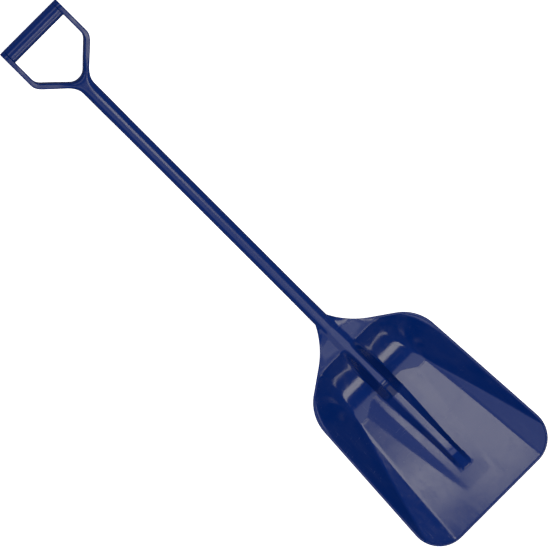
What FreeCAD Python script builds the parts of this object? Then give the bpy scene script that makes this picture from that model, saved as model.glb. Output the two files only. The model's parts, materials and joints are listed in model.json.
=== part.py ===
import FreeCAD, Part
import math
import os
import Sketcher

# Design frame: X runs forward to the digging edge (x = 0), the grip is at negative x,
# Y is across the blade, Z points out of the scoop's open side, and the underside of the
# floor is z = 0. At the end every piece is turned together into the resting pose.

SIZES = [
    ("blade_width", 338.0, "greatest width across the rim, near the front corners"),
    ("neck_distance", 499.0, "front edge to the end of the neck, in plan"),
    ("pocket_length", 425.0, "front edge to the top of the back wall"),
    ("floor_length", 297.0, "front edge to the foot of the back wall"),
    ("front_corner_radius", 62.0, "plan radius of the two front corners"),
    ("side_taper", 3.56, "angle by which each side narrows towards the back"),
    ("shoulder_start", 338.0, "front edge to where the sides turn in"),
    ("shoulder_radius", 88.0, "plan radius of the two shoulders"),
    ("shoulder_angle", 55.0, "steepest plan angle of the shoulders"),
    ("neck_angle", 27.0, "plan angle of the shoulders where they meet the neck"),
    ("rim_height_back", 88.0, "rim height at the back wall"),
    ("rim_height_front", 20.0, "rim height at the front corners"),
    ("rim_lip", 5.0, "width of the level lip along the rim"),
    ("floor_half_front", 119.5, "half width of the floor at the front edge"),
    ("floor_half_back", 91.0, "half width of the floor at the foot of the back wall"),
    ("cone_half", 50.0, "half width of the back wall's level middle at the rim"),
    ("wall_thickness", 4.0, "thickness of the floor"),
    ("wall_thickness_rim", 6.5, "upright thickness of the walls at the rim"),
    ("land_height", 0.2, "height of the flat land under the front of the floor"),
    ("land_length", 40.0, "length of that land, front to back"),
    ("land_width", 190.0, "width of that land"),
    ("land_setback", 10.0, "front edge to the land"),
    ("rim_rise_start", 40.0, "front edge to where the rim begins to rise"),
    ("web_ridge_half", 6.0, "half width of the ridge along the shoulders"),
    ("web_half", 85.0, "half width of the rising middle of the shoulders, at the back wall"),
    ("web_blend", 25.0, "length over which the ridge rises behind the back wall"),
    ("panel_height", 4.5, "rise of the raised middle of the floor, at the back"),
    ("panel_half_inner", 45.0, "half width of the level top of the raised middle"),
    ("panel_half_outer", 67.0, "half width of its foot, at the back"),
    ("panel_length", 55.0, "front edge to where the raised middle dies out"),
    ("spine_top_half", 7.5, "half width of the flat top of the spine"),
    ("spine_base_half", 24.0, "half width of the spine's foot on the back wall"),
    ("spine_end_half", 15.0, "half width of the spine's front end"),
    ("spine_low_height", 20.0, "height of the low part of the spine over the floor"),
    ("spine_crest_end", 325.0, "front edge to where the crest leaves the line of the shaft"),
    ("spine_low_start", 280.0, "front edge to the back of the low part of the spine"),
    ("spine_low_end", 132.0, "front edge to the front of the low part of the spine"),
    ("spine_end", 90.0, "front edge to the front end of the spine"),
    ("lift_angle", 12.0, "angle of the shaft over the floor"),
    ("neck_height", 95.0, "height of the shaft axis at the end of the neck"),
    ("shaft_diameter", 29.6, "outside diameter of the shaft and of the neck"),
    ("shaft_length", 620.0, "length of the shaft between neck and stem"),
    ("core_diameter", 22.0, "outside diameter of the core tube"),
    ("core_bore", 18.0, "inside diameter of the core tube"),
    ("neck_socket", 70.0, "depth of the core tube in the neck"),
    ("stem_socket", 36.0, "depth of the core tube in the stem"),
    ("plug_head", 3.0, "thickness of each plug's head"),
    ("plug_length", 16.0, "length of each plug inside the core tube"),
    ("grip_distance", 191.6, "stem joint to the middle of the bar"),
    ("grip_width", 154.0, "width across the two straps"),
    ("grip_diameter", 33.0, "diameter of the bar"),
    ("strap_width", 10.5, "width of each strap"),
    ("arm_width", 12.5, "width of each slanting arm"),
    ("arm_angle", 46.0, "angle of the arms to the shaft axis"),
    ("crotch_distance", 54.7, "stem joint to the sharp inner corner of the opening"),
    ("crotch_radius", 26.0, "radius of that inner corner"),
    ("bend_radius", 20.0, "inner radius where arms turn into straps"),
    ("stem_flare", 14.0, "length of the round part of the stem"),
    ("stem_blend_radius", 60.0, "radius where the arms leave the stem"),
    ("rod_diameter", 12.0, "diameter of the rod inside the bar"),
    ("rod_embed", 6.0, "depth of the rod in each strap"),
]

doc = FreeCAD.newDocument("snow_shovel")
sheet = doc.addObject("Spreadsheet::Sheet", "Sizes")
for row, (alias, value, note) in enumerate(SIZES, start=1):
    sheet.set("A%d" % row, alias)
    sheet.set("B%d" % row, str(value))
    sheet.set("C%d" % row, note)
    sheet.setAlias("B%d" % row, alias)
doc.recompute()


def size(alias):
    """Value of one size, read from the sheet."""
    return float(getattr(sheet, alias))


def origin_plane(body, role):
    """One of a body's own origin planes, found by its role."""
    return [f for f in body.Origin.OriginFeatures if f.Role == role][0]


def new_body(label):
    """An empty body whose label names its file."""
    body = doc.addObject("PartDesign::Body", label)
    body.Label = label
    return body


def new_sketch(body, name, role):
    """An empty sketch on one of a body's origin planes."""
    sketch = body.newObject("Sketcher::SketchObject", name)
    sketch.AttachmentSupport = [(origin_plane(body, role), "")]
    sketch.MapMode = "FlatFace"
    return sketch


def add_circle(sketch, expression):
    """A circle round the sketch origin; the expression gives its diameter."""
    circle = Part.Circle(FreeCAD.Vector(0, 0, 0), FreeCAD.Vector(0, 0, 1), 10.0)
    index = sketch.addGeometry(circle, False)
    sketch.addConstraint(Sketcher.Constraint("Coincident", index, 3, -1, 1))
    number = sketch.addConstraint(Sketcher.Constraint("Diameter", index, 20.0))
    sketch.setExpression("Constraints[%d]" % number, expression)


def add_polygon(sketch, corners):
    """A closed polygon; each corner is a pair (expression, rough value) for x and for y."""
    rough = [FreeCAD.Vector(x[1], y[1], 0) for x, y in corners]
    first = sketch.GeometryCount
    count = len(corners)
    for i in range(count):
        sketch.addGeometry(Part.LineSegment(rough[i], rough[(i + 1) % count]), False)
    for i in range(count):
        following = first + (i + 1) % count
        sketch.addConstraint(Sketcher.Constraint("Coincident", first + i, 2, following, 1))
    for i, (x, y) in enumerate(corners):
        for kind, (expression, value) in (("DistanceX", x), ("DistanceY", y)):
            number = sketch.addConstraint(
                Sketcher.Constraint(kind, -1, 1, first + i, 1, value))
            sketch.setExpression("Constraints[%d]" % number, expression)


def add_pad(body, name, sketch, expression, midplane=False):
    """A pad of one sketch; the expression gives its length."""
    pad = body.newObject("PartDesign::Pad", name)
    pad.Profile = sketch
    pad.Midplane = midplane
    pad.setExpression("Length", expression)
    sketch.Visibility = False
    return pad


def ring_body(label, outer, inner, length):
    """A straight tube (or a rod, when inner is None) along its own X axis."""
    body = new_body(label)
    sketch = new_sketch(body, label + "_section", "YZ_Plane")
    add_circle(sketch, outer)
    if inner is not None:
        add_circle(sketch, inner)
    add_pad(body, label + "_pad", sketch, length)
    return body


# ---- the scoop's form --------------------------------------------------------------------


def outline_points():
    """Plan corners of one half of the rim as (back, side) pairs, back measured from the
    front edge, with the arcs' middles between their ends."""
    taper = math.radians(size("side_taper"))
    steep = math.radians(size("shoulder_angle"))
    neck = math.radians(size("neck_angle"))
    corner = size("front_corner_radius")
    half = size("blade_width") / 2.0
    wide = half - corner + corner / math.cos(taper) + corner * math.tan(taper)

    def on_corner(angle):
        return (corner + corner * math.sin(angle), half - corner + corner * math.cos(angle))

    front = on_corner(-math.pi / 2.0)
    corner_mid = on_corner((taper - math.pi / 2.0) / 2.0)
    flank = on_corner(taper)
    start = (size("shoulder_start"), wide - size("shoulder_start") * math.tan(taper))
    radius = size("shoulder_radius")
    turn = (start[0] - radius * math.sin(taper), start[1] - radius * math.cos(taper))

    def on_shoulder(angle):
        return (turn[0] + radius * math.sin(angle), turn[1] + radius * math.cos(angle))

    shoulder_mid = on_shoulder((taper + steep) / 2.0)
    slope_start = on_shoulder(steep)
    end = (size("neck_distance"), size("shaft_diameter") / 2.0)
    dx = math.sin(steep) - math.sin(neck)
    dy = math.cos(neck) - math.cos(steep)
    rise = math.tan(steep) * (end[0] - slope_start[0]) - (slope_start[1] - end[1])
    bend = rise / (math.tan(steep) * dx - dy)
    hollow = (end[0] + bend * math.sin(neck), end[1] + bend * math.cos(neck))

    def on_hollow(angle):
        return (hollow[0] - bend * math.sin(angle), hollow[1] - bend * math.cos(angle))

    slope_end = on_hollow(steep)
    hollow_mid = on_hollow((steep + neck) / 2.0)
    return [front, corner_mid, flank, start, shoulder_mid, slope_start, slope_end,
            hollow_mid, end]


def outline_face(z):
    """The rim's plan outline as a flat face at height z."""
    half = [FreeCAD.Vector(-back, side, z) for back, side in outline_points()]
    other = [FreeCAD.Vector(p.x, -p.y, z) for p in half]
    edges = [Part.LineSegment(other[0], half[0]).toShape()]
    for side in (half, other):
        edges.append(Part.Arc(side[0], side[1], side[2]).toShape())
        edges.append(Part.LineSegment(side[2], side[3]).toShape())
        edges.append(Part.Arc(side[3], side[4], side[5]).toShape())
        edges.append(Part.LineSegment(side[5], side[6]).toShape())
        edges.append(Part.Arc(side[6], side[7], side[8]).toShape())
    edges.append(Part.LineSegment(half[8], other[8]).toShape())
    return Part.Face(Part.Wire(Part.__sortEdges__(edges)))


def mix(first, second, share):
    """Straight blend between two values."""
    return first + (second - first) * share


def clamp(value, low, high):
    """Value kept between two limits."""
    return max(low, min(high, value))


def rim_height(back):
    """Height of the rim over the underside of the floor."""
    start = size("rim_rise_start")
    share = max(back - start, 0.0) / (size("pocket_length") - start)
    curve = 1.25 * share - 0.25 * share * share
    return mix(size("rim_height_front"), size("rim_height_back"), curve)


def rim_half(back):
    """Half width of the pocket at the rim, ahead of the shoulders."""
    start = outline_points()[3]
    taper = math.tan(math.radians(size("side_taper")))
    return start[1] + (start[0] - back) * taper - size("rim_lip")


def floor_half(back):
    """Half width of the level floor."""
    share = back / size("floor_length")
    return mix(size("floor_half_front"), size("floor_half_back"), share)


def panel_rise(back, side):
    """Height of the raised middle over the floor."""
    span = size("floor_length") - size("panel_length")
    share = clamp((back - size("panel_length")) / span, 0.0, 1.0)
    inner = size("panel_half_inner")
    outer = mix(inner, size("panel_half_outer"), share) + 0.5
    slope = clamp((outer - side) / (outer - inner), 0.0, 1.0)
    return size("panel_height") * share * slope


def wall_share(back, side):
    """Plan position on the walls: 0 at the floor's edge, 1 at the rim."""
    span = size("pocket_length") - size("floor_length")
    along = max(0.0, back - size("floor_length")) / span
    start = mix(floor_half(min(back, size("floor_length"))), size("cone_half"),
                min(along, 1.0))
    across = max(0.0, side - start) / (rim_half(back) - start)
    return across, along


def axis_height(back):
    """Height of the shaft axis at one distance from the front edge."""
    lift = math.radians(size("lift_angle"))
    return size("neck_height") - (size("neck_distance") - back) * math.tan(lift)


def web_rise(back, side):
    """Rise of the shoulders towards the ridge in their middle, behind the back wall."""
    start = size("pocket_length")
    radius = size("shaft_diameter") / 2.0
    ridge = size("web_ridge_half")
    share = clamp((back - start) / (size("neck_distance") - start), 0.0, 1.0)
    edge = mix(size("web_half"), radius, share)
    slope = clamp((edge - side) / (edge - ridge), 0.0, 1.0)
    tall = axis_height(back) + radius - 1.0 - rim_height(back)
    return max(tall, 0.0) * slope * clamp((back - start) / size("web_blend"), 0.0, 1.0)


def scoop_height(back, side):
    """Height of the scoop's upper surface at one plan position."""
    low = size("wall_thickness")
    across, along = wall_share(back, side)
    reach = math.hypot(across, along)
    rim = rim_height(back)
    if reach >= 1.0:
        return rim + web_rise(back, side)
    panel = low + panel_rise(back, side)
    if reach <= 0.0:
        return panel
    crease = clamp(1.0 - (back - 30.0) / (size("floor_length") - 30.0), 0.0, 1.0)
    gentle = (size("rim_height_front") - low) / (rim - low)
    if reach < crease:
        side_form = gentle * reach
    else:
        side_form = mix(gentle * crease, 1.0, (reach - crease) / (1.0 - crease + 1e-9))
    back_form = 0.3 * reach + 0.7 * reach * reach
    turn = (along / reach) ** 2
    return max(low + (rim - low) * mix(side_form, back_form, turn), panel)


def under_height(back, side):
    """Height of the scoop's underside at one plan position."""
    across, along = wall_share(back, side)
    share = clamp(math.hypot(across, along), 0.0, 1.0)
    floor = size("wall_thickness") - size("land_height")
    return scoop_height(back, side) - mix(floor, size("wall_thickness_rim"), share)


def smooth_surface(height):
    """Smooth surface over the plan, shaped by a grid of control points on a height rule."""
    step = 8.0
    length = size("neck_distance") + 30.0
    width = size("blade_width") / 2.0 + 12.0
    along = int(round(length / step))
    across = 2 * int(round(width / step))
    poles = []
    for i in range(along + 1):
        back = -10.0 + length * i / along
        line = []
        for j in range(across + 1):
            side = -width + 2.0 * width * j / across
            line.append(FreeCAD.Vector(-back, side, height(max(back, 0.0), abs(side))))
        poles.append(line)
    surface = Part.BSplineSurface()
    surface.buildFromPolesMultsKnots(
        poles, [3] + [1] * (along - 2) + [3], [3] + [1] * (across - 2) + [3],
        [float(k) for k in range(along)], [float(k) for k in range(across)],
        False, False, 2, 2)
    return surface.toShape()


def between(lower, upper):
    """Solid between two surfaces over the same rectangle."""
    faces = [lower, upper]
    for edge in lower.OuterWire.Edges:
        middle = edge.CenterOfMass
        twin = min(upper.OuterWire.Edges, key=lambda other: math.hypot(
            other.CenterOfMass.x - middle.x, other.CenterOfMass.y - middle.y))
        faces.append(Part.makeRuledSurface(edge, twin))
    shell = Part.makeShell(faces)
    shell.sewShape()
    solid = Part.makeSolid(shell)
    if solid.Volume < 0.0:
        solid.reverse()
    return solid


def spine_stations():
    """Rows (back, crest height, half width of top, half width of foot) from neck to front."""
    lift = math.radians(size("lift_angle"))
    raised = size("shaft_diameter") / 2.0 / math.cos(lift)

    def crest(back):
        return axis_height(back) + raised

    top = size("spine_top_half")
    foot = size("spine_base_half")
    end = size("spine_end_half")
    low = size("wall_thickness") + size("spine_low_height")
    pocket = size("pocket_length")
    crest_end = size("spine_crest_end")
    middle = mix(pocket, crest_end, 0.5)
    return [
        (pocket + 34.0, crest(pocket + 34.0) - 1.0, top * 0.7, top * 1.6),
        (pocket, crest(pocket) - 0.3, top, foot * 0.85),
        (middle, crest(middle), top, foot),
        (crest_end, crest(crest_end), top, foot * 0.95),
        (size("spine_low_start"), low + 2.0, top, foot * 0.85),
        (size("spine_low_end"), low, top, end + 1.5),
        (size("spine_end"), size("wall_thickness") - 0.5, top, end),
    ]


def closed_section(back, corners):
    """Closed upright section of (side, height) corners at one distance from the front."""
    points = [FreeCAD.Vector(-back, side, z) for side, z in corners]
    return Part.makePolygon(points + points[:1])


def spine_solid():
    """The ridge that carries the shaft's line down into the pocket."""
    sections = []
    for back, crest, top, foot in spine_stations():
        base = min(scoop_height(back, 0.0) - 3.0, crest - 0.4)
        corners = [(-foot, base), (-top, crest), (top, crest), (foot, base)]
        sections.append(closed_section(back, corners))
    return Part.makeLoft(sections, True, True)


def channel_solid():
    """The hollow under the spine, open underneath."""
    wall = size("wall_thickness")
    rows = spine_stations()[1:]
    first = (rows[0][0] - 8.0,) + rows[0][1:]
    last = (rows[-1][0] + wall,) + rows[-1][1:]
    sections = []
    for back, crest, top, foot in [first] + rows[1:-1] + [last]:
        roof = max(crest - wall, 0.6)
        knee = min(under_height(back, 0.0), roof - 0.3)
        wide = foot - 1.15 * wall
        narrow = max(top - 0.8 * wall, 1.0)
        corners = [(-wide, -8.0), (-wide, knee), (-narrow, roof),
                   (narrow, roof), (wide, knee), (wide, -8.0)]
        sections.append(closed_section(back, corners))
    return Part.makeLoft(sections, True, True)


def shaft_direction():
    """Unit vector along the shaft, from the neck towards the grip."""
    lift = math.radians(size("lift_angle"))
    return FreeCAD.Vector(-math.cos(lift), 0.0, math.sin(lift))


def on_axis(distance):
    """Point on the shaft axis, measured from the end of the neck towards the grip."""
    start = FreeCAD.Vector(-size("neck_distance"), 0.0, size("neck_height"))
    return start + shaft_direction() * distance


def build_blade():
    """Scoop, spine and neck as one moulding; a freeform shape that no sketch feature fits."""
    skin = between(smooth_surface(under_height), smooth_surface(scoop_height))
    prism = outline_face(-30.0).extrude(FreeCAD.Vector(0, 0, 200.0))
    scoop = skin.common(prism)
    radius = size("shaft_diameter") / 2.0
    insert = size("neck_socket") + size("plug_head")
    length = insert + 8.0
    boss = Part.makeCylinder(radius, length, on_axis(-length), shaft_direction())
    bore = Part.makeCylinder(size("core_diameter") / 2.0, insert + 20.0, on_axis(-insert),
                             shaft_direction())
    behind = Part.makeCylinder(radius * 3.0, 60.0, on_axis(0.0), shaft_direction())
    blade = scoop.fuse(boss).fuse(spine_solid()).cut(channel_solid())
    land = Part.makeBox(
        size("land_length"), size("land_width"), size("wall_thickness") / 2.0,
        FreeCAD.Vector(-size("land_setback") - size("land_length"),
                       -size("land_width") / 2.0, 0.0))
    blade = blade.cut(behind).cut(bore).fuse(land)
    feature = doc.addObject("Part::Feature", "blade")
    feature.Label = "blade"
    feature.Shape = max(blade.Solids, key=lambda solid: solid.Volume)
    return feature


# ---- shaft, core and grip, each along its own X axis -------------------------------------


def build_plug(label):
    """Plug for the core tube: a shank inside the tube and a head against its end."""
    body = new_body(label)
    head = new_sketch(body, label + "_head_section", "YZ_Plane")
    add_circle(head, "Sizes.core_diameter")
    add_pad(body, label + "_head", head, "Sizes.plug_head")
    shank = new_sketch(body, label + "_shank_section", "YZ_Plane")
    add_circle(shank, "Sizes.core_bore")
    add_pad(body, label + "_shank", shank, "Sizes.plug_head + Sizes.plug_length")
    return body


def edges_where(shape, test):
    """Names of the edges whose middle and direction pass a test."""
    names = []
    for number, edge in enumerate(shape.Edges, start=1):
        middle = edge.valueAt((edge.FirstParameter + edge.LastParameter) / 2.0)
        ends = [vertex.Point for vertex in edge.Vertexes]
        if len(ends) == 2 and test(middle, ends[1] - ends[0]):
            names.append("Edge%d" % number)
    return names


def add_fillet(body, name, names, expression):
    """Rounding of named edges of the body's tip; the expression gives its radius."""
    base = body.Tip
    fillet = body.newObject("PartDesign::Fillet", name)
    fillet.Base = (base, names)
    fillet.setExpression("Radius", expression)
    doc.recompute()


def both_signs(corner_list):
    """A half polygon, listed along +y, completed with its mirror image."""
    mirrored = [(x, ("-(%s)" % y[0], -y[1])) for x, y in reversed(corner_list)]
    return mirrored + corner_list


def build_yoke():
    """Fork of the D-grip: a stem, two slanting arms and two straps that cap the bar."""
    body = new_body("d_grip_yoke")
    angle = math.radians(size("arm_angle"))
    crotch = size("crotch_distance")
    end_value = size("grip_distance") + size("grip_diameter") / 2.0
    half_value = size("grip_width") / 2.0
    stem_value = size("shaft_diameter") / 2.0
    inner_value = half_value - size("strap_width")
    outer_start = crotch - size("arm_width") / math.sin(angle)
    tangent = "tan(Sizes.arm_angle * 1 deg)"
    start = "Sizes.crotch_distance - Sizes.arm_width / sin(Sizes.arm_angle * 1 deg)"
    end = "Sizes.grip_distance + Sizes.grip_diameter / 2"
    half = "Sizes.grip_width / 2"
    stem = "Sizes.shaft_diameter / 2"
    inner = "Sizes.grip_width / 2 - Sizes.strap_width"
    knee_x = ("%s + %s / %s" % (start, stem, tangent),
              outer_start + stem_value / math.tan(angle))
    bend_x = ("%s + %s / %s" % (start, half, tangent),
              outer_start + half_value / math.tan(angle))
    turn_x = ("Sizes.crotch_distance + (%s) / %s" % (inner, tangent),
              crotch + inner_value / math.tan(angle))

    outside = new_sketch(body, "yoke_outside", "XY_Plane")
    add_polygon(outside, both_signs([
        ((end, end_value), (half, half_value)), (bend_x, (half, half_value)),
        (knee_x, (stem, stem_value)), (("0", 0.0), (stem, stem_value))]))
    add_pad(body, "yoke_plate", outside, "Sizes.grip_diameter", True)
    opening = new_sketch(body, "yoke_opening", "XY_Plane")
    past = (end + " + 5", end_value + 5.0)
    tip = [(("Sizes.crotch_distance", crotch), ("0", 0.0))]
    add_polygon(opening, both_signs([
        (past, (inner, inner_value)), (turn_x, (inner, inner_value))]) + tip)
    window = body.newObject("PartDesign::Pocket", "yoke_window")
    window.Profile = opening
    window.Midplane = True
    window.setExpression("Length", "Sizes.grip_diameter * 2")
    opening.Visibility = False
    doc.recompute()

    def upright_at(x, y):
        return edges_where(body.Shape, lambda middle, along: math.hypot(along.x, along.y) < 0.01
                           and abs(middle.x - x) < 0.5 and abs(abs(middle.y) - y) < 0.5)

    add_fillet(body, "yoke_crotch", upright_at(crotch, 0.0), "Sizes.crotch_radius")
    add_fillet(body, "yoke_inner_bends", upright_at(turn_x[1], inner_value),
               "Sizes.bend_radius")
    add_fillet(body, "yoke_outer_bends", upright_at(bend_x[1], half_value),
               "Sizes.bend_radius + Sizes.arm_width")
    add_fillet(body, "yoke_stem_blends", upright_at(knee_x[1], stem_value),
               "Sizes.stem_blend_radius")
    ends = edges_where(body.Shape, lambda middle, along: math.hypot(along.x, along.z) < 0.01
                       and abs(middle.x - end_value) < 0.1)
    add_fillet(body, "yoke_strap_ends", ends, "Sizes.grip_diameter / 2 - 0.4")
    turning = new_sketch(body, "yoke_stem_turning", "XZ_Plane")
    add_polygon(turning, [
        (("-5", -5.0), (stem, stem_value)),
        (("Sizes.stem_flare", size("stem_flare")), (stem, stem_value)),
        (("Sizes.stem_flare + 20", size("stem_flare") + 20.0),
         (stem + " + 4.5", stem_value + 4.5)),
        (("Sizes.stem_flare + 36", size("stem_flare") + 36.0),
         (stem + " + 16", stem_value + 16.0)),
        (("-5", -5.0), (stem + " + 16", stem_value + 16.0))])
    groove = body.newObject("PartDesign::Groove", "yoke_stem")
    groove.Profile = turning
    groove.ReferenceAxis = (turning, ["H_Axis"])
    groove.Angle = 360.0
    turning.Visibility = False
    doc.recompute()
    socket = new_sketch(body, "yoke_socket_section", "YZ_Plane")
    add_circle(socket, "Sizes.core_diameter")
    bore = body.newObject("PartDesign::Pocket", "yoke_socket")
    bore.Profile = socket
    bore.Reversed = True
    bore.setExpression("Length", "Sizes.stem_socket + Sizes.plug_head")
    socket.Visibility = False
    doc.recompute()
    recess = new_sketch(body, "yoke_rod_section", "XZ_Plane")
    circle = Part.Circle(FreeCAD.Vector(size("grip_distance"), 0, 0),
                         FreeCAD.Vector(0, 0, 1), size("rod_diameter") / 2.0)
    index = recess.addGeometry(circle, False)
    recess.addConstraint(Sketcher.Constraint("PointOnObject", index, 3, -1))
    place = recess.addConstraint(
        Sketcher.Constraint("DistanceX", -1, 1, index, 3, size("grip_distance")))
    recess.setExpression("Constraints[%d]" % place, "Sizes.grip_distance")
    width = recess.addConstraint(
        Sketcher.Constraint("Diameter", index, size("rod_diameter")))
    recess.setExpression("Constraints[%d]" % width, "Sizes.rod_diameter")
    holes = body.newObject("PartDesign::Pocket", "yoke_rod_recesses")
    holes.Profile = recess
    holes.Midplane = True
    holes.setExpression("Length", "Sizes.grip_width - 2 * Sizes.strap_width"
                        " + 2 * Sizes.rod_embed")
    recess.Visibility = False
    doc.recompute()
    return body


def build_bar():
    """The round bar between the straps, hollow for its rod, centred on its own X axis."""
    body = new_body("hand_grip")
    sketch = new_sketch(body, "bar_section", "YZ_Plane")
    add_circle(sketch, "Sizes.grip_diameter")
    add_circle(sketch, "Sizes.rod_diameter")
    add_pad(body, "bar_pad", sketch, "Sizes.grip_width - 2 * Sizes.strap_width", True)
    return body


def build_rod():
    """The rod inside the bar, centred on its own X axis."""
    body = new_body("grip_core")
    sketch = new_sketch(body, "rod_section", "YZ_Plane")
    add_circle(sketch, "Sizes.rod_diameter")
    add_pad(body, "rod_pad", sketch, "Sizes.grip_width - 2 * Sizes.strap_width"
            " + 2 * Sizes.rod_embed", True)
    return body


def lowest_points(shape):
    """Corner points of a fine mesh of one shape, as (x, z) pairs."""
    return [(point.x, point.z) for point in shape.tessellate(0.1)[0]]


def resting_tilt(front, rear):
    """Angle about Y that brings the lowest points of two point lists to one level."""
    low, high = 0.0, math.radians(45.0)
    for _ in range(40):
        angle = (low + high) / 2.0
        c, s = math.cos(angle), math.sin(angle)
        if min(s * x + c * z for x, z in rear) > min(s * x + c * z for x, z in front):
            low = angle
        else:
            high = angle
    return (low + high) / 2.0


# ---- build, place, check and write -------------------------------------------------------

blade = build_blade()
shaft = ring_body("shaft", "Sizes.shaft_diameter", "Sizes.core_diameter",
                  "Sizes.shaft_length")
core = ring_body("shaft_core", "Sizes.core_diameter", "Sizes.core_bore",
                 "Sizes.shaft_length + Sizes.neck_socket + Sizes.stem_socket")
lower_plug = build_plug("lower_core_plug")
upper_plug = build_plug("upper_core_plug")
yoke = build_yoke()
bar = build_bar()
rod = build_rod()
doc.recompute()

# Every piece along the shaft shares one direction; the upper plug faces the other way and
# the bar and its rod lie across it.
AWAY = shaft_direction()
UP = FreeCAD.Vector(AWAY.z, 0.0, -AWAY.x)
ACROSS = UP.cross(AWAY)
LENGTHWISE = FreeCAD.Rotation(AWAY, ACROSS, UP, "XYZ")
REVERSED = FreeCAD.Rotation(AWAY * -1.0, ACROSS * -1.0, UP, "XYZ")
CROSSWISE = FreeCAD.Rotation(ACROSS, AWAY * -1.0, UP, "XYZ")
grip_at = size("shaft_length") + size("grip_distance")
core_end = size("shaft_length") + size("stem_socket")
placed = [
    (blade, FreeCAD.Placement()),
    (shaft, FreeCAD.Placement(on_axis(0.0), LENGTHWISE)),
    (core, FreeCAD.Placement(on_axis(-size("neck_socket")), LENGTHWISE)),
    (lower_plug, FreeCAD.Placement(
        on_axis(-size("neck_socket") - size("plug_head")), LENGTHWISE)),
    (upper_plug, FreeCAD.Placement(on_axis(core_end + size("plug_head")), REVERSED)),
    (yoke, FreeCAD.Placement(on_axis(size("shaft_length")), LENGTHWISE)),
    (bar, FreeCAD.Placement(on_axis(grip_at), CROSSWISE)),
    (rod, FreeCAD.Placement(on_axis(grip_at), CROSSWISE)),
]
for piece, placement in placed:
    piece.Placement = placement

# The resting pose: the heel of the scoop and the grip both touch the ground.
blade_low = lowest_points(blade.Shape)
grip_low = lowest_points(yoke.Shape) + lowest_points(bar.Shape)
tilt = resting_tilt(blade_low, grip_low)
c, s = math.cos(tilt), math.sin(tilt)
every = blade_low + grip_low
lowest = min(s * x + c * z for x, z in every)
front = max(c * x - s * z for x, z in every)
rear = min(c * x - s * z for x, z in every)
turned = FreeCAD.Rotation(FreeCAD.Vector(0, 1, 0), -math.degrees(tilt))
resting = FreeCAD.Placement(FreeCAD.Vector(-(front + rear) / 2.0, 0.0, -lowest), turned)
for piece, placement in placed:
    piece.Placement = resting.multiply(placement)
doc.recompute()

os.makedirs("parts", exist_ok=True)
problems = []
for item in doc.Objects:
    if "Invalid" in item.State or "Error" in item.State:
        problems.append("%s is %s" % (item.Label, item.State))
for piece, _ in placed:
    if piece.Shape.isNull() or not piece.Shape.isValid():
        problems.append("%s has no sound shape" % piece.Label)
    elif len(piece.Shape.Solids) != 1:
        problems.append("%s has %d solids" % (piece.Label, len(piece.Shape.Solids)))
if problems:
    raise RuntimeError("; ".join(problems))
for piece, _ in placed:
    piece.Shape.exportStep("parts/%s.step" % piece.Label)
    box = piece.Shape.optimalBoundingBox()
    print("%-16s %8.1f cm3  x %.1f..%.1f  y %.1f..%.1f  z %.1f..%.1f" % (
        piece.Label, piece.Shape.Volume / 1000.0, box.XMin, box.XMax, box.YMin, box.YMax,
        box.ZMin, box.ZMax))
print("resting tilt %.4f degrees, base x %.4f z %.4f" % (
    math.degrees(tilt), resting.Base.x, resting.Base.z))
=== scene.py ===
import json
import math

import bmesh
import bpy
import numpy as np
from mathutils import Matrix, Vector


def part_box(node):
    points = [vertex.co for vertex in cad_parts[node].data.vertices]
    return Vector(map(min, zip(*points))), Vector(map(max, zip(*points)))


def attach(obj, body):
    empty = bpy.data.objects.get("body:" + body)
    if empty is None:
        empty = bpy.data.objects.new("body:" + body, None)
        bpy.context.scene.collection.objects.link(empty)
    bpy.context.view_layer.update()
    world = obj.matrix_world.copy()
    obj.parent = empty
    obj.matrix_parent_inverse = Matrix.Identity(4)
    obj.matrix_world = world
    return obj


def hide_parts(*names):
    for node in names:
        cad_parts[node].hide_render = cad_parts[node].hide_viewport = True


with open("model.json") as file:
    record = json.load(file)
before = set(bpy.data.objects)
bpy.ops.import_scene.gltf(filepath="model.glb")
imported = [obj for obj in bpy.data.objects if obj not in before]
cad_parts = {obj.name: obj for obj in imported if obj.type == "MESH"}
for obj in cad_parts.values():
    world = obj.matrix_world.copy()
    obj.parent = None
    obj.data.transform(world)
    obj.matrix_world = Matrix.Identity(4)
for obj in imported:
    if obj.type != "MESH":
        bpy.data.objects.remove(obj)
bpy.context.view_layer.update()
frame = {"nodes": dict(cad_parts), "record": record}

# Lengths below are in millimetres, in the maker's own frame: "back" is measured along the
# floor of the scoop from the digging edge towards the grip, "side" across the blade and
# "height" up from the underside of the floor. MM turns them into metres.
MM = 0.001

BLADE_LENGTH = 499.0        # digging edge to the end of the neck
POCKET_LENGTH = 425.0       # digging edge to the top of the back wall
FLOOR_LENGTH = 297.0        # digging edge to the foot of the back wall
CORNER_RADIUS = 62.0
SIDE_TAPER = math.radians(3.56)
SHOULDER_START = 338.0
SHOULDER_RADIUS = 88.0
SHOULDER_ANGLE = math.radians(55.0)
NECK_ANGLE = math.radians(27.0)
RIM_BACK = 88.0
RIM_FRONT = 20.0
RIM_LIP = 5.0
RIM_RISE = 40.0             # digging edge to where the rim begins to rise
LAND = 0.2                  # the floor's underside stands this far over the mount's face
FLOOR_HALF_FRONT = 119.5
FLOOR_HALF_BACK = 91.0
WALL = 4.0
WALL_RIM = 6.5
BEAD_RADIUS = 2.6           # the rolled bead along the rim
BEAD_LIFT = 1.2             # how far it stands above the lip
PANEL_HEIGHT = 4.5
PANEL_TOP_FRONT = 30.0      # half width of the panel's level top at the front, at the back
PANEL_TOP_BACK = 40.0
PANEL_FOOT_FRONT = 37.0     # half width at its foot
PANEL_FOOT_BACK = 70.0
PANEL_LENGTH = 55.0
SPINE_TOP = 7.5
SPINE_FOOT = 24.0
SPINE_END_FOOT = 15.5
SPINE_LOW = 20.0
SPINE_STEP = 2.0            # height at which the spine's ramp ends
SPINE_FRONT = 2.5           # length of the little slope at the ramp's front
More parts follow.
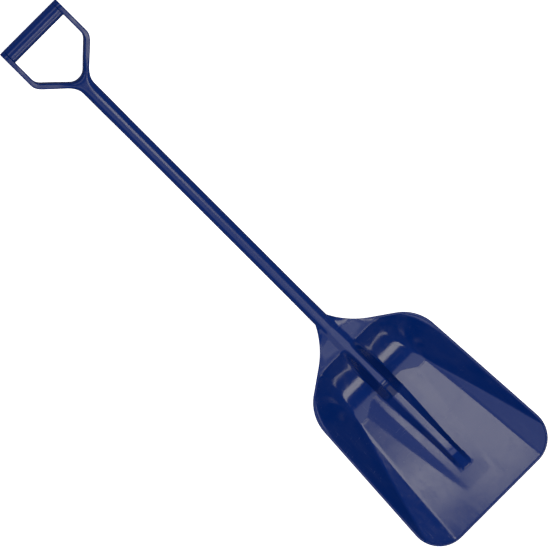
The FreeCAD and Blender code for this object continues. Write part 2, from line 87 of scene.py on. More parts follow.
SPINE_NOSE = 6.5            # radius of the ramp's front corners, seen from above
CONE_POWER = 2.2            # how square the back corners are in plan; 2 is an ellipse
CONE_HALF = 50.0            # half width of the back wall's level middle at the rim
BACK_SLOPE = 0.30           # the back wall's slope at its foot, as a share of its mean slope
CREST_END = 320.0
LOW_START = 291.0
LOW_END = 132.0
SPINE_END = 90.0
LIFT = math.radians(12.0)
NECK_HEIGHT = 95.0
WEB_HALF = 85.0             # half width of the rising middle of the shoulders
WEB_RIDGE = 12.0            # half width of the ridge they rise to
WEB_DROP = 6.0              # how far that ridge stays under the top of the neck
SHAFT_RADIUS = 14.8
END_RADIUS = 15.3           # the shaft swells to this at both ends, as do neck and stem
SHAFT_LENGTH = 620.0
CORE_RADIUS = 11.0
GRIP_DISTANCE = 191.6       # stem joint to the middle of the bar
GRIP_HALF = 77.0
BAR_RADIUS = 16.5
STRAP = 10.5
ARM = 11.5
ARM_ANGLE = math.radians(46.0)
CROTCH = 53.1
CROTCH_RADIUS = 26.0
ROD_RADIUS = 6.0
MOUNT_BACK = 30.0           # where the record's underside mount sits, behind the edge


# ---- the maker's frame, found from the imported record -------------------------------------

mounts = {mount["name"]: mount for mount in frame["record"]["mounts"]}
DOWN = np.array(mounts["underside"]["axis"], float)
UP = -DOWN / np.linalg.norm(DOWN)
LEFT = np.array([0.0, 1.0, 0.0])
FORWARD = np.cross(LEFT, UP)
EDGE = np.array(mounts["underside"]["pos_m"], float) + FORWARD * MOUNT_BACK * MM
AXIS = -FORWARD * math.cos(LIFT) + UP * math.sin(LIFT)
AXIS_UP = FORWARD * math.sin(LIFT) + UP * math.cos(LIFT)
NECK = EDGE - FORWARD * BLADE_LENGTH * MM + UP * NECK_HEIGHT * MM
HALF_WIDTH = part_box("blade")[1][1] / MM - 0.2


def scoop_place(back, side, height):
    """Maker's coordinates in millimetres to points in metres, as an array of rows."""
    back, side, height = np.broadcast_arrays(back, side, height)
    return (EDGE + MM * (-back[..., None] * FORWARD + side[..., None] * LEFT
                         + height[..., None] * UP))


def shaft_place(along, side, height):
    """Distance from the neck along the shaft, across it and above its axis, to metres."""
    along, side, height = np.broadcast_arrays(along, side, height)
    return (NECK + MM * (along[..., None] * AXIS + side[..., None] * LEFT
                         + height[..., None] * AXIS_UP))


# ---- small sums --------------------------------------------------------------------------

def mix(first, second, share):
    """Straight blend from first to second."""
    return first + (second - first) * share


def smooth_max(first, second, reach):
    """The larger of two, with the corner between them rounded over a reach."""
    share = np.clip(0.5 + 0.5 * (first - second) / reach, 0.0, 1.0)
    return mix(second, first, share) + reach * share * (1.0 - share)


def smooth_min(first, second, reach):
    """The smaller of two, with the corner between them rounded over a reach."""
    return -smooth_max(-first, -second, reach)


def ease(value, low, high):
    """0 below low, 1 above high, with a level start and finish."""
    share = np.clip((value - low) / (high - low), 0.0, 1.0)
    return share * share * (3.0 - 2.0 * share)


def round_edge(depth, radius):
    """Quarter circle: 0 at the edge, rising to 1 at one radius inside it."""
    share = np.clip(depth / radius, 0.0, 1.0)
    return np.sqrt(1.0 - (1.0 - share) ** 2)


def spaced(stops, counts):
    """Running values through the stops, with a count of steps between each pair."""
    runs = [np.linspace(a, b, n, endpoint=False) for a, b, n in zip(stops, stops[1:], counts)]
    return np.concatenate(runs + [np.array([float(stops[-1])])])


# ---- mesh making -------------------------------------------------------------------------

def grid_faces(rows, columns, start=0, flip=False):
    """Quads of a rows by columns grid of points numbered from start."""
    index = start + np.arange(rows * columns).reshape(rows, columns)
    quads = np.stack([index[:-1, :-1], index[1:, :-1], index[1:, 1:], index[:-1, 1:]], axis=-1)
    quads = quads.reshape(-1, 4)
    return quads[:, ::-1] if flip else quads


def make_piece(name, points, faces, weld=2e-5):
    """A mesh object from points and quads, with doubled points welded and smooth faces."""
    mesh = bpy.data.meshes.new(name)
    mesh.from_pydata(points.reshape(-1, 3).tolist(), [], faces.tolist())
    piece = bpy.data.objects.new(name, mesh)
    bpy.context.scene.collection.objects.link(piece)
    work = bmesh.new()
    work.from_mesh(mesh)
    bmesh.ops.remove_doubles(work, verts=work.verts, dist=weld)
    bmesh.ops.recalc_face_normals(work, faces=work.faces)
    work.to_mesh(mesh)
    work.free()
    mesh.polygons.foreach_set("use_smooth", [True] * len(mesh.polygons))
    mesh.set_sharp_from_angle(angle=math.radians(40.0))
    mesh.update()
    return piece


# ---- the scoop ---------------------------------------------------------------------------

TAPER = math.tan(SIDE_TAPER)
WIDE = HALF_WIDTH - CORNER_RADIUS + CORNER_RADIUS / math.cos(SIDE_TAPER) + CORNER_RADIUS * TAPER
SHOULDER_SIDE = WIDE - SHOULDER_START * TAPER


def outline_half(back):
    """Half width of the rim's outline: a quarter circle at the front corner, a straight
    tapering side, an arc into the shoulder, a straight slope and a hollow arc to the neck."""
    corner_x = np.clip(CORNER_RADIUS - back, 0.0, CORNER_RADIUS)
    corner = HALF_WIDTH - CORNER_RADIUS + np.sqrt(CORNER_RADIUS ** 2 - corner_x ** 2)
    flank_start = CORNER_RADIUS * (1.0 + math.sin(SIDE_TAPER))
    side = np.where(back < flank_start, corner, WIDE - back * TAPER)
    side = np.minimum(side, WIDE - back * TAPER)
    turn_x = SHOULDER_START - SHOULDER_RADIUS * math.sin(SIDE_TAPER)
    turn_y = SHOULDER_SIDE - SHOULDER_RADIUS * math.cos(SIDE_TAPER)
    slope_x = turn_x + SHOULDER_RADIUS * math.sin(SHOULDER_ANGLE)
    slope_y = turn_y + SHOULDER_RADIUS * math.cos(SHOULDER_ANGLE)
    steep = math.tan(SHOULDER_ANGLE)
    dx = math.sin(SHOULDER_ANGLE) - math.sin(NECK_ANGLE)
    dy = math.cos(NECK_ANGLE) - math.cos(SHOULDER_ANGLE)
    bend = (steep * (BLADE_LENGTH - slope_x) - (slope_y - END_RADIUS)) / (steep * dx - dy)
    hollow_x = BLADE_LENGTH + bend * math.sin(NECK_ANGLE)
    hollow_y = END_RADIUS + bend * math.cos(NECK_ANGLE)
    end_x = hollow_x - bend * math.sin(SHOULDER_ANGLE)
    arc = turn_y + np.sqrt(np.maximum(SHOULDER_RADIUS ** 2 - (back - turn_x) ** 2, 0.0))
    slope = slope_y - (back - slope_x) * steep
    hollow = hollow_y - np.sqrt(np.maximum(bend ** 2 - (hollow_x - back) ** 2, 0.0))
    return np.select([back < SHOULDER_START, back < slope_x, back < end_x],
                     [side, arc, slope], hollow)


def rim_height(back):
    """Height of the rim: a gentle curve from low at the front to high at the back wall."""
    share = smooth_max(back - RIM_RISE, 0.0, 12.0) / (POCKET_LENGTH - RIM_RISE)
    return mix(RIM_FRONT, RIM_BACK, 1.25 * share - 0.25 * share * share)


def floor_half(back):
    """Half width of the level floor, straight from front to back."""
    return mix(FLOOR_HALF_FRONT, FLOOR_HALF_BACK, back / FLOOR_LENGTH)


def wall_reach(back, side):
    """Plan position on the walls as (across, along, reach): 0 at the foot, 1 at the rim.
    Reach is the length of the pair, which turns the back corners into cones; the level
    middle of the back wall narrows towards the rim."""
    along = smooth_max(back - FLOOR_LENGTH, 0.0, 1.6) / (POCKET_LENGTH - FLOOR_LENGTH)
    start = mix(floor_half(np.minimum(back, FLOOR_LENGTH)), CONE_HALF, np.clip(along, 0.0, 1.0))
    rim = WIDE - back * TAPER - RIM_LIP
    across = smooth_max(side - start, 0.0, 1.6) / (rim - start)
    return across, along, (across ** CONE_POWER + along ** CONE_POWER) ** (1.0 / CONE_POWER)


def panel_rise(back, side):
    """The raised middle of the floor: level on top, with straight slopes at its sides that
    close in towards the front while its height dies away."""
    share = np.clip((back - PANEL_LENGTH) / (FLOOR_LENGTH - PANEL_LENGTH), 0.0, 1.0)
    foot = mix(PANEL_FOOT_FRONT, PANEL_FOOT_BACK, share)
    slope = (foot - side) / (foot - mix(PANEL_TOP_FRONT, PANEL_TOP_BACK, share))
    slope = smooth_min(smooth_max(slope, 0.0, 0.12), 1.0, 0.12)
    return PANEL_HEIGHT * share * slope


def axis_height(back):
    """Height of the shaft's axis at a distance from the digging edge."""
    return NECK_HEIGHT - (BLADE_LENGTH - back) * math.tan(LIFT)


def web_rise(back, side):
    """Behind the back wall the shoulders climb in a hollow curve to a narrow ridge."""
    share = np.clip((back - POCKET_LENGTH) / (BLADE_LENGTH - POCKET_LENGTH), 0.0, 1.0)
    edge = mix(WEB_HALF, END_RADIUS, share)
    slope = (edge - side) / (edge - WEB_RIDGE)
    slope = smooth_min(smooth_max(slope, 0.0, 0.10), 1.0, 0.10) ** 1.5
    tall = axis_height(back) + END_RADIUS - WEB_DROP - rim_height(back)
    return np.maximum(tall, 0.0) * slope * ease(back, POCKET_LENGTH - 4.0, POCKET_LENGTH + 40.0)


def basin_height(back, side):
    """Upper surface of the scoop without its spine: floor, walls in two facets, back wall as
    a hollow curve and the shoulders behind it."""
    across, along, reach = wall_reach(back, side)
    rim = rim_height(back)
    crease = np.clip(1.0 - (back - 30.0) / (FLOOR_LENGTH - 30.0), 0.0, 0.96)
    gentle = (RIM_FRONT - WALL) / (rim - WALL)
    steep = (1.0 - gentle * crease) / (1.0 - crease)
    side_form = gentle * reach + (steep - gentle) * smooth_max(reach - crease, 0.0, 0.03)
    back_form = BACK_SLOPE * reach + (1.0 - BACK_SLOPE) * reach ** 2
    turn = (along / np.maximum(reach, 1e-6)) ** 2
    form = smooth_min(mix(side_form, back_form, turn), 1.0, 0.03)
    wall = WALL + (rim - WALL) * form
    return smooth_max(wall, WALL + panel_rise(back, side), 0.5) + web_rise(back, side)


def basin_under(back, side):
    """Underside of the scoop without its spine, parallel to the upper surface."""
    reach = np.clip(wall_reach(back, side)[2], 0.0, 1.0)
    return basin_height(back, side) - mix(WALL - LAND, WALL_RIM, reach)


def crest_height(back):
    """The spine's crest: it runs on from the shaft, drops steeply, runs level over the floor
    and ends in a ramp."""
    carried = axis_height(back) + END_RADIUS / math.cos(LIFT)
    high = axis_height(CREST_END) + END_RADIUS / math.cos(LIFT)
    low = WALL + SPINE_LOW
    falling = high - (CREST_END - back) * (high - low) / (CREST_END - LOW_START)
    ramp = low - (LOW_END - back) * (SPINE_LOW - SPINE_STEP) / (LOW_END - SPINE_END)
    crest = smooth_min(smooth_max(falling, low, 2.5), carried, 16.0)
    return smooth_min(crest, ramp, 3.0)


def spine_height(back, side, inset=0.0):
    """The ridge's surface. Its foot is a long strip with rounded front corners, and its
    sides climb from it in straight slopes that turn into soft curves towards the neck.
    Inset gives the hollow inside it."""
    foot = mix(SPINE_END_FOOT, SPINE_FOOT, ease(back, LOW_END, CREST_END))
    foot = mix(foot, END_RADIUS + 1.0, ease(back, POCKET_LENGTH + 6.0, BLADE_LENGTH)) - inset
    nose = SPINE_NOSE * (1.0 - round_edge(back - SPINE_END - inset, SPINE_NOSE))
    beside = (foot - nose - np.abs(side)) / (foot - SPINE_TOP + 0.7 * inset)
    ahead = (back - SPINE_END - inset) / SPINE_FRONT
    climb = smooth_min(np.minimum(beside, ahead), 1.0, 0.12)
    curve = 1.0 - ease(np.abs(side), 3.0, foot)
    climb = mix(climb, curve, ease(back, CREST_END, POCKET_LENGTH - 10.0))
    base = basin_height(back, 0.0 * side)
    return base + np.maximum(crest_height(back) - inset - base, 2.0) * climb


def scoop_sheets(back, side, depth):
    """Heights of the moulding's upper and lower sheets. Plate, spine and neck tube are
    joined with rounded corners, and the plate runs out inside the bead."""
    plate_top = basin_height(back, side)
    plate_low = basin_under(back, side)
    bead = plate_top + BEAD_LIFT - BEAD_RADIUS
    swell = round_edge(depth, 2.0 * BEAD_RADIUS)
    plate_top = bead + (plate_top - bead) * swell
    plate_low = bead + (plate_low - bead) * swell
    shear = ease(back, POCKET_LENGTH + 5.0, BLADE_LENGTH)
    stretch = mix(1.0 / math.cos(LIFT), math.cos(LIFT), shear)
    bulge = np.sqrt(np.maximum(END_RADIUS ** 2 - side ** 2, 0.0)) * stretch
    beyond = np.maximum(np.abs(side) - END_RADIUS, 0.0) * 4.0
    tube_top = axis_height(back) + bulge - beyond
    tube_low = axis_height(back) - bulge + beyond
    near_neck = ease(back, BLADE_LENGTH - 44.0, BLADE_LENGTH - 6.0)
    edge = round_edge(depth, 12.0)
    reach = mix(1.2, 5.0, ease(back, LOW_START, POCKET_LENGTH)) * edge + 0.01
    top = smooth_max(plate_top, spine_height(back, side), reach)
    top = mix(top, smooth_max(plate_top, tube_top, mix(8.0, 0.3, near_neck) * edge + 0.01),
              near_neck)
    low = smooth_max(plate_low, spine_height(back, side, inset=WALL), reach)
    joined = smooth_min(plate_low, tube_low, mix(14.0, 0.3, near_neck) * edge + 0.01)
    low = mix(low, joined, ease(back, POCKET_LENGTH - 6.0, POCKET_LENGTH - 1.0))
    return top, np.minimum(low, top), shear


def outline_path():
    """Half of the rim's outline as (back, side) rows, from the middle of the digging edge
    to the neck, with close steps round the corner."""
    turn = CORNER_RADIUS * (1.0 - np.cos(np.linspace(0.0, math.pi / 2.0, 100)))
    trace = np.unique(np.concatenate([turn, np.linspace(0.0, BLADE_LENGTH, 420)]))
    half = outline_half(trace)
    front = np.linspace(0.0, half[0], 60)[:-1]
    return (np.concatenate([0.0 * front, trace]), np.concatenate([front, half]))


def rim_bead():
    """The rolled bead: a circle carried along the whole rim, just inside its outline, that
    shrinks where it runs into the neck. Gives points and faces."""
    back, side = outline_path()
    back = np.concatenate([back[:0:-1], back])
    side = np.concatenate([-side[:0:-1], side])
    step = np.hypot(np.gradient(back), np.gradient(side))
    inward = np.stack([np.gradient(side), -np.gradient(back)], axis=1) / step[:, None]
    radius = BEAD_RADIUS * mix(1.0, 0.0, ease(back, BLADE_LENGTH - 40.0, BLADE_LENGTH))
    centre_back = back + inward[:, 0] * radius
    centre_side = side + inward[:, 1] * radius
    height = basin_height(centre_back, np.abs(centre_side)) + BEAD_LIFT - radius
    turn = np.linspace(0.0, 2.0 * math.pi, 20, endpoint=False)
    out = np.cos(turn)[None, :] * radius[:, None]
    points = scoop_place(centre_back[:, None] + inward[:, 0:1] * out,
                         centre_side[:, None] + inward[:, 1:2] * out,
                         height[:, None] + np.sin(turn)[None, :] * radius[:, None])
    rows, columns = len(back), len(turn)
    index = np.arange(rows * columns).reshape(rows, columns)
    index = np.concatenate([index, index[:, :1]], axis=1)
    quads = np.stack([index[:-1, :-1], index[1:, :-1], index[1:, 1:], index[:-1, 1:]], axis=-1)
    return points.reshape(-1, 3), quads.reshape(-1, 4)


def build_scoop():
    """The whole blade as two sheets over one plan grid. Rows run from the digging edge to
    the neck, close together round the front corners; columns follow the spine, the edge of
    the floor and the rim, so that the folds run along the mesh."""
    corner = CORNER_RADIUS * (1.0 - np.cos(np.linspace(0.0, math.pi / 2.0, 30)[:-1]))
    nose = np.array([0.0, 0.08, 0.3, 0.65, 1.1, 1.6, 2.2])
    straight = np.linspace(CORNER_RADIUS, BLADE_LENGTH, 210)
    creases = [stop + np.linspace(-4.0, 4.0, 15) for stop in (
        SPINE_END + 2.0, LOW_END, LOW_START, FLOOR_LENGTH, CREST_END, POCKET_LENGTH)]
    rows = np.unique(np.concatenate([nose, corner[corner > 2.6], straight] + creases))
    width = outline_half(rows)
    lip = np.minimum(2.4 * BEAD_RADIUS, width * 0.15)
    inside = width - lip
    foot = np.minimum(SPINE_FOOT, inside * 0.62)
    top = np.minimum(SPINE_TOP, foot * 0.45)
    fold = np.minimum(floor_half(rows), inside * 0.86)
    share = spaced([0, 1, 2, 3, 4], [6, 18, 30, 24])
    stops = np.stack([0.0 * width, top, foot, fold, inside], axis=1)
    whole = np.clip(share.astype(int), 0, 3)
    part = share - whole
    half = stops[:, whole] * (1.0 - part) + stops[:, whole + 1] * part
    edge = np.sin(np.linspace(0.0, math.pi / 2.0, 8))[1:]
    half = np.concatenate([half, inside[:, None] + lip[:, None] * edge], axis=1)
    side = np.concatenate([-half[:, :0:-1], half], axis=1)
    back = np.repeat(rows[:, None], side.shape[1], axis=1)
    trace_back, trace_side = outline_path()
    depth = np.hypot(back[..., None] - trace_back, np.abs(side)[..., None] - trace_side)
    upper, lower, shear = scoop_sheets(back, np.abs(side), depth.min(axis=-1))
    level = axis_height(back)
    lean = math.tan(LIFT)
    sheets = [scoop_place(back - shear * (z - level) * lean, side, z) for z in (upper, lower)]
    count, columns = back.shape
    faces = [grid_faces(count, columns), grid_faces(count, columns, count * columns, True)]
    last = (count - 1) * columns + np.arange(columns)
    other = last + count * columns
    faces.append(np.stack([last[:-1], other[:-1], other[1:], last[1:]], axis=1))
    bead_points, bead_faces = rim_bead()
    faces.append(bead_faces + 2 * count * columns)
    points = np.concatenate([s.reshape(-1, 3) for s in sheets] + [bead_points])
    return make_piece("scoop", points, np.concatenate(faces))


# ---- shaft, fork and bar -----------------------------------------------------------------

def lathe(name, along, radius, place, steps=96):
    """A profile of (along, radius) pairs turned once round its axis, closed on itself."""
    angle = np.linspace(0.0, 2.0 * math.pi, steps, endpoint=False)
    side = radius[:, None] * np.cos(angle)
    height = radius[:, None] * np.sin(angle)
    points = place(np.repeat(along[:, None], steps, axis=1), side, height)
    index = np.arange(len(along) * steps).reshape(len(along), steps)
    index = np.concatenate([index, index[:, :1]], axis=1)
    index = np.concatenate([index, index[:1]], axis=0)
    quads = np.stack([index[:-1, :-1], index[1:, :-1], index[1:, 1:], index[:-1, 1:]], axis=-1)
    return make_piece(name, points, quads.reshape(-1, 4))


def build_shaft():
    """The shaft's tube: its outside swells a little towards both ends."""
    run = spaced([0.0, 60.0, SHAFT_LENGTH - 60.0, SHAFT_LENGTH], [16, 60, 16])
    swell = ease(-run, -90.0, 0.0) + ease(run, SHAFT_LENGTH - 90.0, SHAFT_LENGTH)
    outside = mix(SHAFT_RADIUS, END_RADIUS, swell)
    along = np.concatenate([run, run[::-1]])
    radius = np.concatenate([outside, np.full(len(run), CORE_RADIUS)])
    return lathe("shaft_tube", along, radius, shaft_place)


CROTCH_CENTRE = CROTCH + CROTCH_RADIUS / math.sin(ARM_ANGLE)
CROTCH_TIP = CROTCH_CENTRE - CROTCH_RADIUS
FORK_LENGTH = GRIP_DISTANCE + BAR_RADIUS


def fork_outline(run):
    """Inner and outer half width of the fork at distances from the stem joint: straight
    arms, an arc in the crotch, and bends into the straps."""
    slope = math.tan(ARM_ANGLE)
    start = CROTCH - ARM / math.sin(ARM_ANGLE)
    outer = smooth_max(END_RADIUS, (run - start) * slope, 17.0)
    outer = smooth_min(outer, GRIP_HALF, 11.0)
    corner = 2.0
    near_end = np.maximum(run - (FORK_LENGTH - corner), 0.0)
    outer = outer - corner + np.sqrt(np.maximum(corner ** 2 - near_end ** 2, 0.0))
    arc = np.sqrt(np.maximum(CROTCH_RADIUS ** 2 - (CROTCH_CENTRE - run) ** 2, 0.0))
    tangent = CROTCH_CENTRE - CROTCH_RADIUS * math.sin(ARM_ANGLE)
    inner = np.where(run < tangent, arc, (run - CROTCH) * slope)
    inner = np.where(run < CROTCH_TIP, 0.0, smooth_min(inner, GRIP_HALF - STRAP, 8.0))
    return inner, outer


def build_fork():
    """The fork as two mirrored sheets over one plan grid. Its thickness follows the distance
    to the nearest edge: a quarter circle that is as large as the stem's radius at the stem,
    and small along the flat arms and straps. The straps end in half discs round the bar."""
    opening = CROTCH_TIP + 22.0 * np.linspace(0.0, 1.0, 36) ** 2
    finish = GRIP_DISTANCE + BAR_RADIUS * np.sin(np.linspace(0.0, math.pi / 2.0, 36))
    run = np.unique(np.concatenate([np.linspace(0.0, CROTCH_TIP, 60), opening,
                                    np.linspace(CROTCH_TIP + 22.0, GRIP_DISTANCE, 90), finish]))
    inner, outer = fork_outline(run)
    rise = np.linspace(0.0, math.pi / 2.0, 9)
    share = np.concatenate([0.24 * (1.0 - np.cos(rise)), np.linspace(0.24, 0.76, 13)[1:-1],
                            1.0 - 0.24 * (1.0 - np.cos(rise[::-1]))])
    side = mix(inner[:, None], outer[:, None], share)
    along = np.repeat(run[:, None], len(share), axis=1)
    trace = np.unique(np.concatenate([np.linspace(0.0, FORK_LENGTH, 700), opening]))
    in_trace, out_trace = fork_outline(trace)
    cut = trace >= CROTCH_TIP
    hole = np.hypot(along[..., None] - trace[cut], side[..., None] - in_trace[cut]).min(axis=-1)
    rim = np.hypot(along[..., None] - trace, side[..., None] - out_trace).min(axis=-1)
    depth = np.minimum(hole, rim)
    bend = mix(END_RADIUS, 3.0, ease(along, 24.0, 92.0))
    thick = mix(END_RADIUS, 12.5, ease(along, 16.0, 86.0))
    thick = mix(thick, BAR_RADIUS, ease(along, 108.0, 168.0))
    past = np.clip((along - GRIP_DISTANCE) / BAR_RADIUS, 0.0, 1.0)
    thick = thick * np.sqrt(1.0 - past ** 2)
    height = thick - np.minimum(thick, bend) * (1.0 - round_edge(depth, bend))
    sheets = []
    faces = []
    size = along.size
    rows, columns = along.shape
    for number, (turn, lift) in enumerate(((1, 1), (1, -1), (-1, 1), (-1, -1))):
        sheets.append(shaft_place(SHAFT_LENGTH + along, turn * side, lift * height))
        faces.append(grid_faces(rows, columns, number * size, turn * lift < 0))
    for turn in (0, 2):
        upper = turn * size + np.arange(size).reshape(rows, columns)
        for strip in (upper[run >= CROTCH_TIP, 0], upper[:, -1], upper[0], upper[-1]):
            under = strip + size
            faces.append(np.stack([strip[:-1], strip[1:], under[1:], under[:-1]], axis=1))
    points = np.concatenate([s.reshape(-1, 3) for s in sheets])
    return make_piece("grip_fork", points, np.concatenate(faces), 5e-5)


def bar_place(along, side, height):
    """Distance along the bar from its middle, and two offsets from its axis, to metres."""
    centre = NECK + AXIS * (SHAFT_LENGTH + GRIP_DISTANCE) * MM
    return (centre + MM * (along[..., None] * LEFT + side[..., None] * AXIS
                           + height[..., None] * AXIS_UP))


def build_bar():
    """The bar between the straps: a turned profile with small rounded ends and a bore."""
    half = GRIP_HALF - STRAP
    turn = np.linspace(0.0, math.pi / 2.0, 7)
    end_along = half - 0.6 + 0.6 * np.sin(turn)
    end_radius = BAR_RADIUS - 0.6 + 0.6 * np.cos(turn)
    run = np.linspace(-half + 0.6, half - 0.6, 50)[1:-1]
    outside = np.concatenate([-end_along[::-1], run, end_along])
    radius = np.concatenate([end_radius[::-1], np.full(len(run), BAR_RADIUS), end_radius])
    along = np.concatenate([outside, [half, -half]])
    radius = np.concatenate([radius, [ROD_RADIUS, ROD_RADIUS]])
    return lathe("grip_bar", along, radius, bar_place)


# ---- materials ---------------------------------------------------------------------------

class Value:
    """A socket that holds a number; the operators on it add Math nodes."""

    def __init__(self, maker, socket):
        self.maker = maker
        self.socket = socket

    def _with(self, kind, first, second):
        return self.maker.node("ShaderNodeMath", {"operation": kind}, {0: first, 1: second})

    def __add__(self, other):
        return self._with("ADD", self, other)

    def __radd__(self, other):
        return self._with("ADD", other, self)

    def __mul__(self, other):
        return self._with("MULTIPLY", self, other)


class Finish:
    """A new material with its surface shader, and one method that adds any other node."""

    def __init__(self, name):
        self.material = bpy.data.materials.new(name)
        self.material.use_nodes = True
        self.tree = self.material.node_tree
        self.shader = self.tree.nodes["Principled BSDF"]

    def node(self, kind, settings=None, inputs=None, output=0):
        """Adds a node: its settings first, then the values or links of its sockets."""
        node = self.tree.nodes.new(kind)
        for key, value in (settings or {}).items():
            if key == "stops":
                ramp = node.color_ramp
                ramp.elements[0].position, ramp.elements[0].color = value[0]
                ramp.elements[1].position, ramp.elements[1].color = value[-1]
                for place, colour in value[1:-1]:
                    ramp.elements.new(place).color = colour
            else:
                setattr(node, key, value)
        for key, value in (inputs or {}).items():
            self.feed(node.inputs[key], value)
        return Value(self, node.outputs[output])

    def feed(self, socket, value):
        """Links a value or sets a plain number or colour."""
        if isinstance(value, Value):
            self.tree.links.new(value.socket, socket)
        else:
            socket.default_value = value

    def surface(self, **sockets):
        """Feeds the surface shader; spaces in socket names are written as underscores."""
        for key, value in sockets.items():
            self.feed(self.shader.inputs[key.replace("_", " ")], value)
        return self.material

    def object_place(self):
        return self.node("ShaderNodeTexCoord", output=3)

    def stretched(self, place, scale, turn=(0.0, 0.0, 0.0)):
        return self.node("ShaderNodeMapping", {}, {"Vector": place, "Scale": scale,
                                                    "Rotation": turn})

    def noise(self, place, scale, detail=2.0, rough=0.5, twist=0.0):
        return self.node("ShaderNodeTexNoise", {}, {"Vector": place, "Scale": scale,
                                                     "Detail": detail, "Roughness": rough,
                                                     "Distortion": twist})

    def between(self, value, low, high, first=0.0, second=1.0):
        return self.node("ShaderNodeMapRange", {"interpolation_type": "SMOOTHSTEP"},
                         {0: value, 1: low, 2: high, 3: first, 4: second})

    def colours(self, share, first, second):
        return self.node("ShaderNodeMix", {"data_type": "RGBA"},
                         {"Factor": share, 6: first, 7: second}, output=2)

    def bump(self, height, distance, strength=1.0, under=None):
        inputs = {"Height": height, "Distance": distance, "Strength": strength}
        if under is not None:
            inputs["Normal"] = under
        return self.node("ShaderNodeBump", {}, inputs)


DEEP_BLUE = (0.0004, 0.0150, 0.1200, 1.0)
WORN_BLUE = (0.0250, 0.0400, 0.1450, 1.0)


def blue_plastic(name, wear, gloss):
    """Deep blue moulded plastic: faint mottling from the mould, hair scratches along and
    across, and worn patches and rubbed streaks that turn paler and duller."""
    f = Finish(name)
    place = f.object_place()
    mottle = f.noise(place, 7.0, 3.0, 0.55)
    cloud = f.noise(place, 24.0, 4.0, 0.6)
    peel = f.noise(place, 420.0, 2.0, 0.5)
    lengthwise = f.noise(f.stretched(place, (9.0, 520.0, 520.0)), 1.0, 3.0, 0.6, 0.4)
    across = f.stretched(place, (900.0, 26.0, 60.0), (0.0, 0.0, 0.6))
    slanting = f.noise(across, 1.0, 2.0, 0.5, 0.8)
    hairs = f.between(lengthwise, 0.62, 0.72) + f.between(slanting, 0.64, 0.74)
    patch = f.between(cloud * 0.6 + mottle * 0.4, 0.40, 0.66)
    rubbed = f.noise(f.stretched(place, (14.0, 60.0, 60.0), (0.0, 0.0, 0.35)), 1.0, 5.0, 0.7, 0.5)
    haze = f.between(rubbed, 0.46, 0.74) * wear
    scuffed = hairs * (patch * 0.8 + 0.2) * wear
    colour = f.colours(scuffed * 0.7 + patch * (0.08 * wear) + haze * 0.14, DEEP_BLUE, WORN_BLUE)
    roughness = gloss + mottle * 0.03 + scuffed * 0.22 + patch * (0.04 * wear) + haze * 0.06
    skin = f.bump(peel, 0.00004, 0.6)
    skin = f.bump(hairs * wear, 0.00003, 0.5, skin)
    return f.surface(Base_Color=colour, Roughness=roughness, IOR=1.5, Normal=skin)


def core_metal():
    """Drawn tube: bright metal with fine lines along it."""
    f = Finish("drawn_tube")
    place = f.object_place()
    lines = f.noise(f.stretched(place, (6.0, 700.0, 700.0)), 1.0, 2.0)
    cloud = f.noise(place, 30.0, 3.0)
    return f.surface(Base_Color=f.colours(cloud, (0.62, 0.63, 0.65, 1), (0.75, 0.76, 0.78, 1)),
                     Roughness=lines * 0.2 + 0.22, Metallic=1.0,
                     Normal=f.bump(lines, 0.00003, 0.5))


def plug_rubber():
    """Dark moulded plug with a fine grain."""
    f = Finish("plug_moulding")
    place = f.object_place()
    grain = f.noise(place, 900.0, 2.0)
    cloud = f.noise(place, 60.0, 3.0)
    return f.surface(Base_Color=f.colours(cloud, (0.012, 0.012, 0.014, 1), (0.02, 0.02, 0.022, 1)),
                     Roughness=grain * 0.2 + 0.45, Normal=f.bump(grain, 0.00005, 0.5))


def rod_fibre():
    """Pale pultruded rod with strands along it."""
    f = Finish("fibre_rod")
    place = f.object_place()
    strands = f.noise(f.stretched(place, (800.0, 9.0, 800.0)), 1.0, 3.0)
    return f.surface(Base_Color=f.colours(strands, (0.52, 0.50, 0.40, 1), (0.70, 0.68, 0.58, 1)),
                     Roughness=strands * 0.2 + 0.35, Normal=f.bump(strands, 0.00004, 0.5))


def floor_paint():
    """Pale studio floor with the faintest unevenness."""
    f = Finish("studio_floor")
    cloud = f.noise(f.object_place(), 3.0, 2.0)
    return f.surface(Base_Color=f.colours(cloud, (0.80, 0.80, 0.80, 1), (0.83, 0.83, 0.83, 1)),
                     Roughness=0.9, Emission_Color=(1.0, 1.0, 1.0, 1.0), Emission_Strength=0.95)


def dress(piece, material):
    """Gives a piece one material."""
    piece.data.materials.clear()
    piece.data.materials.append(material)


# ---- put together ------------------------------------------------------------------------

scoop_finish = blue_plastic("scoop_blue", 1.0, 0.07)
handle_finish = blue_plastic("handle_blue", 0.35, 0.16)

for build, node, slot_name, finish in (
        (build_scoop, "blade", "blade", scoop_finish),
        (build_shaft, "shaft", "shaft", handle_finish),
        (build_fork, "d_grip_yoke", "yoke", handle_finish),
        (build_bar, "hand_grip", "grip", handle_finish)):
    piece = build()
    dress(piece, finish)
    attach(piece, "root")
    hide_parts(node)

metal = core_metal()
plug = plug_rubber()
for node, finish in (("shaft_core", metal), ("lower_core_plug", plug),
                     ("upper_core_plug", plug), ("grip_core", rod_fibre())):
    dress(frame["nodes"][node], finish)


# ---- studio ------------------------------------------------------------------------------

def plane_at(name, size, height):
    """A level square floor."""
    s = size / 2.0
    mesh = bpy.data.meshes.new(name)
    mesh.from_pydata([(-s, -s, height), (s, -s, height), (s, s, height), (-s, s, height)],
                     [], [(0, 1, 2, 3)])
    floor = bpy.data.objects.new(name, mesh)
    bpy.context.scene.collection.objects.link(floor)
    return floor


WARM = (1.0, 0.94, 0.78)


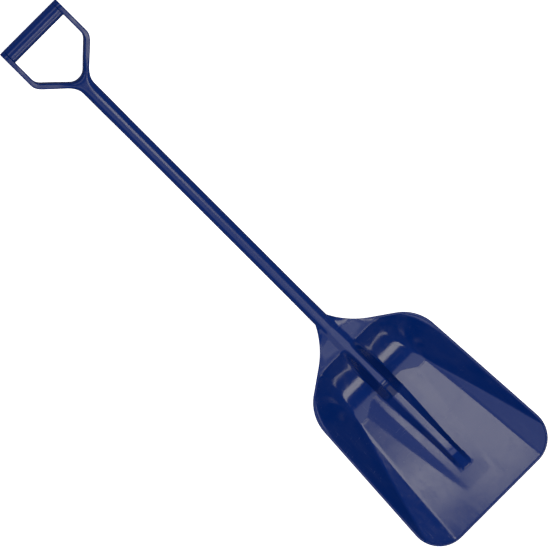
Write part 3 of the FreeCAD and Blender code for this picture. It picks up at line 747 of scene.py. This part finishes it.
def soft_box(name, place, along, across, size, radiance, colour=(1.0, 1.0, 1.0)):
    """A soft box at (back, side, height), as long and wide as its size says along two
    directions. It shines against the cross product of the two and isn't seen itself."""
    along = Vector(along).normalized()
    across = Vector(across).normalized()
    data = bpy.data.lights.new(name, "AREA")
    data.shape = "RECTANGLE"
    data.size, data.size_y = size
    data.energy = radiance * 4.0 * size[0] * size[1]
    data.color = colour
    lamp = bpy.data.objects.new(name, data)
    lamp.matrix_world = Matrix.Translation(Vector(scoop_place(*np.array(place)))) @ Matrix(
        (along, across, along.cross(across))).transposed().to_4x4()
    lamp.visible_camera = False
    bpy.context.scene.collection.objects.link(lamp)
    return lamp


def band(name, rise, tall, radiance):
    """A long soft box ahead of the digging edge, at an angle above the floor's plane."""
    angle = math.radians(rise)
    outward = FORWARD * math.cos(angle) + UP * math.sin(angle)
    upward = UP * math.cos(angle) - FORWARD * math.sin(angle)
    reach = 3000.0
    place = (370.0 - reach * math.cos(angle), 0.0, 60.0 + reach * math.sin(angle))
    return soft_box(name, place, upward, np.cross(outward, upward), (tall, 1.3), radiance, WARM)


floor = plane_at("floor", 60.0, -0.001)
floor.visible_glossy = False
dress(floor, floor_paint())

world = bpy.data.worlds.new("studio")
world.use_nodes = True
world.node_tree.nodes["Background"].inputs[0].default_value = (1.0, 1.0, 1.0, 1.0)
world.node_tree.nodes["Background"].inputs[1].default_value = 0.06
bpy.context.scene.world = world

SEEN_WIDTH = 1.0794         # metres across the view at the object
LENS = 1200.0
SENSOR = 36.0
TURN = math.radians(44.95)  # the shaft runs down to the right by this much
middle = scoop_place(np.array(626.6), np.array(0.6), np.array(90.0))
view_up = Vector(UP)
distance = LENS / SENSOR * SEEN_WIDTH
right = Vector(FORWARD * math.cos(TURN) + LEFT * math.sin(TURN))
above = Vector(-FORWARD * math.sin(TURN) + LEFT * math.cos(TURN))
camera_data = bpy.data.cameras.new("camera")
camera_data.lens = LENS
camera_data.sensor_width = SENSOR
camera_data.clip_end = 100.0
camera = bpy.data.objects.new("camera", camera_data)
camera.matrix_world = Matrix.Translation(Vector(middle) + view_up * distance) @ Matrix(
    (right, above, view_up)).transposed().to_4x4()
bpy.context.scene.collection.objects.link(camera)
bpy.context.scene.camera = camera

# The main light hangs over the right of the floor and stops short of its front left corner.
soft_box("key", (190.0, 582.0, 2200.0), FORWARD, LEFT, (0.46, 1.215), 2.6, WARM)
soft_box("key_front", (80.0, 582.0, 2200.0), FORWARD, LEFT, (0.24, 1.215), 3.5, WARM)
soft_box("key_left", (100.0, -85.0, 2200.0), FORWARD, LEFT, (0.13, 0.12), 3.4, WARM)
# Weaker ones give the shaft, the crest and the bar their long soft streaks.
soft_box("veil", (-900.0, 0.0, 2200.0), FORWARD, LEFT, (1.10, 2.8), 0.85)
soft_box("low_veil", (-50.0, 0.0, 2250.0), FORWARD, LEFT, (0.9, 2.4), 0.30)
soft_box("grip_back", (2300.0, 0.0, 2200.0), FORWARD, LEFT, (0.7, 3.0), 1.0)
# These show on the back wall and the side wall.
band("low_band", 1.5, 0.20, 2.0)
band("high_band", 25.0, 0.50, 3.6)
soft_box("left_wall", (-150.0, -1900.0, 1900.0), FORWARD, LEFT + UP, (2.4, 1.5), 0.5)
# Even light from above that no surface mirrors.
fill = soft_box("fill", (500.0, 0.0, 3000.0), FORWARD, LEFT, (3.5, 3.0), 1.6)
fill.visible_glossy = False

bpy.context.scene.view_settings.view_transform = "Standard"
